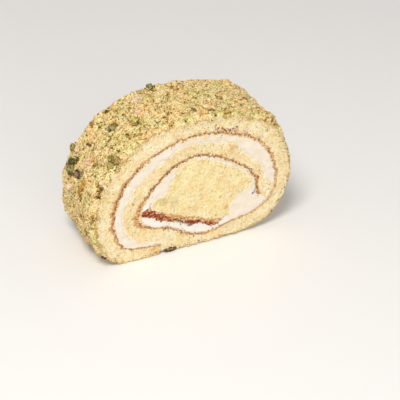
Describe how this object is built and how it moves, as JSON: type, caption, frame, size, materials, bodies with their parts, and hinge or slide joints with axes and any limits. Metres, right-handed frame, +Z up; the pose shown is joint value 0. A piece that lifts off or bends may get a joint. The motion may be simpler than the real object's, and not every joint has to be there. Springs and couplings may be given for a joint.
{
  "type": "swiss roll cake slice",
  "caption": "Thick slice of swiss roll: a sponge sheet wound round cream, jam and a sponge core, with a crumb coat, resting on its flat underside.",
  "frame": {"origin": "on the flat underside, below the middle of the slice", "axes": "+Z up, +X to the right when looking at the cut face with the flap at the lower left, +Y along the roll's axis away from that face"},
  "size_m": [0.1023, 0.036, 0.0704],
  "materials": {
    "sponge": "soft open-pored sponge, cut with a knife",
    "core_sponge": "soft open-pored sponge, a little yellower",
    "cream": "smooth spread cream, soft sheen",
    "jam": "dark red set jam, wet sheen",
    "browned_skin": "thin browned skin of the baked sheet",
    "crumb_coat": "dry sponge crumbs pressed on",
    "nuts": "chopped green nuts, dull"
  },
  "bodies": {
    "root": {"sponge_sheet": "sponge", "sponge_core": "core_sponge", "cream_outer": "cream", "cream_inner": "cream", "jam": "jam"}
  },
  "joints": []
}
